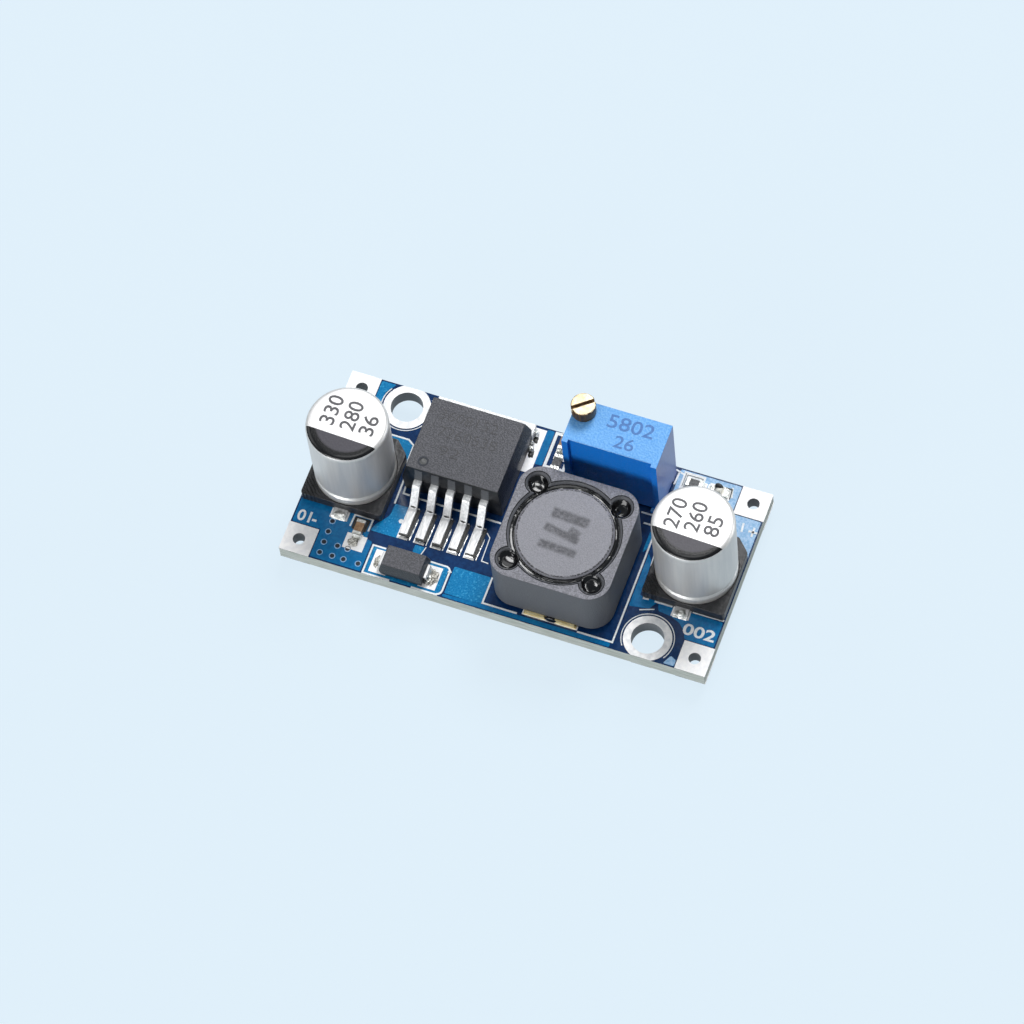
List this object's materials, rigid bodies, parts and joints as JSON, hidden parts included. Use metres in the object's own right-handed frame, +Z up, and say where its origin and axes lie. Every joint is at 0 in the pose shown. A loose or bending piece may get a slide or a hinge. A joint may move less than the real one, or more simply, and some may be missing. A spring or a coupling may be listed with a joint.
{
  "type": "step-down converter module",
  "caption": "Small blue circuit board that lowers a direct voltage, with soldered parts and a screw trimmer that sets the output.",
  "frame": {"origin": "centre of the board on its underside, midway between the two mounting holes", "axes": "+X to the output end, +Y to the long edge with the trimmer, +Z up from the component side"},
  "size_m": [0.0432, 0.0202, 0.0143],
  "materials": {
    "solder_mask_board": "glossy blue solder mask over glass-fibre laminate",
    "tinned_copper": "dull tin over copper",
    "solder": "solidified solder, semi-bright",
    "can_aluminium": "satin drawn aluminium",
    "can_base_moulding": "black moulded base",
    "package_moulding": "matte dark grey moulding compound",
    "ferrite": "matte ground ferrite",
    "inductor_base_moulding": "black moulded plate",
    "gilt_clip": "gilt plated strip",
    "enamelled_copper": "enamelled copper wire",
    "adhesive": "glossy black adhesive",
    "trimmer_blue": "blue moulded housing",
    "trimmer_base_resin": "blue closing plate",
    "screw_brass": "turned brass",
    "seal_rubber": "silicone ring",
    "spring_steel": "spring steel",
    "rotor_nylon": "natural moulded resin",
    "wiper_bronze": "spring bronze",
    "white_ceramic": "fired alumina",
    "cermet": "fired resistive film",
    "tan_ceramic": "sintered dielectric ceramic",
    "resistor_glaze": "dark glazed film on white ceramic",
    "chip_tin": "tinned end cap",
    "lamp_resin": "tinted clear resin"
  },
  "bodies": {
    "module": {"board": "solder_mask_board", "diode_body": "package_moulding", "diode_terminals": "tinned_copper", "feedback_capacitor_body": "tan_ceramic", "feedback_capacitor_ends": "chip_tin", "feedback_resistor_body": "resistor_glaze", "feedback_resistor_ends": "chip_tin", "indicator_lamp_body": "lamp_resin", "indicator_lamp_ends": "chip_tin", "inductor_adhesive": "adhesive", "inductor_base": "inductor_base_moulding", "inductor_clips": "gilt_clip", "inductor_drum": "ferrite", "inductor_shield": "ferrite", "inductor_winding": "enamelled_copper", "input_capacitor_base": "can_base_moulding", "input_capacitor_can": "can_aluminium", "input_capacitor_terminals": "tinned_copper", "input_chip_capacitor_body": "tan_ceramic", "input_chip_capacitor_ends": "chip_tin", "lamp_resistor_body": "resistor_glaze", "lamp_resistor_ends": "chip_tin", "mounting_rings": "tinned_copper", "output_capacitor_base": "can_base_moulding", "output_capacitor_can": "can_aluminium", "output_capacitor_terminals": "tinned_copper", "pin_pads": "tinned_copper", "pin_solder": "solder", "regulator_body": "package_moulding", "regulator_leads": "tinned_copper", "regulator_tab": "tinned_copper", "resistive_track": "cermet", "solder_fillets": "solder", "solder_lands": "tinned_copper", "trimmer_base": "trimmer_base_resin", "trimmer_element": "white_ceramic", "trimmer_housing": "trimmer_blue", "trimmer_pins": "tinned_copper", "wire_pads": "tinned_copper"},
    "adjusting_screw": {"trimmer_screw": "screw_brass", "screw_seal": "seal_rubber", "screw_clip": "spring_steel"},
    "wiper_rotor": {"trimmer_rotor": "rotor_nylon", "trimmer_wiper": "wiper_bronze"}
  },
  "joints": [
    {"name": "adjusting_screw_turn", "type": "hinge", "parent": "module", "child": "adjusting_screw", "pos_m": [0.00351, 0.00828, 0.0101], "axis": [0, 0, 1], "range_deg": [-4500, 4500]},
    {"name": "wiper_rotor_turn", "type": "hinge", "parent": "module", "child": "wiper_rotor", "pos_m": [0.00728, 0.00828, 0.0069], "axis": [0, -1, 0], "range_deg": [-150, 150]}
  ],
  "couplings": [
    {"joint": "wiper_rotor_turn", "follows": "adjusting_screw_turn", "ratio": 0.033333}
  ]
}
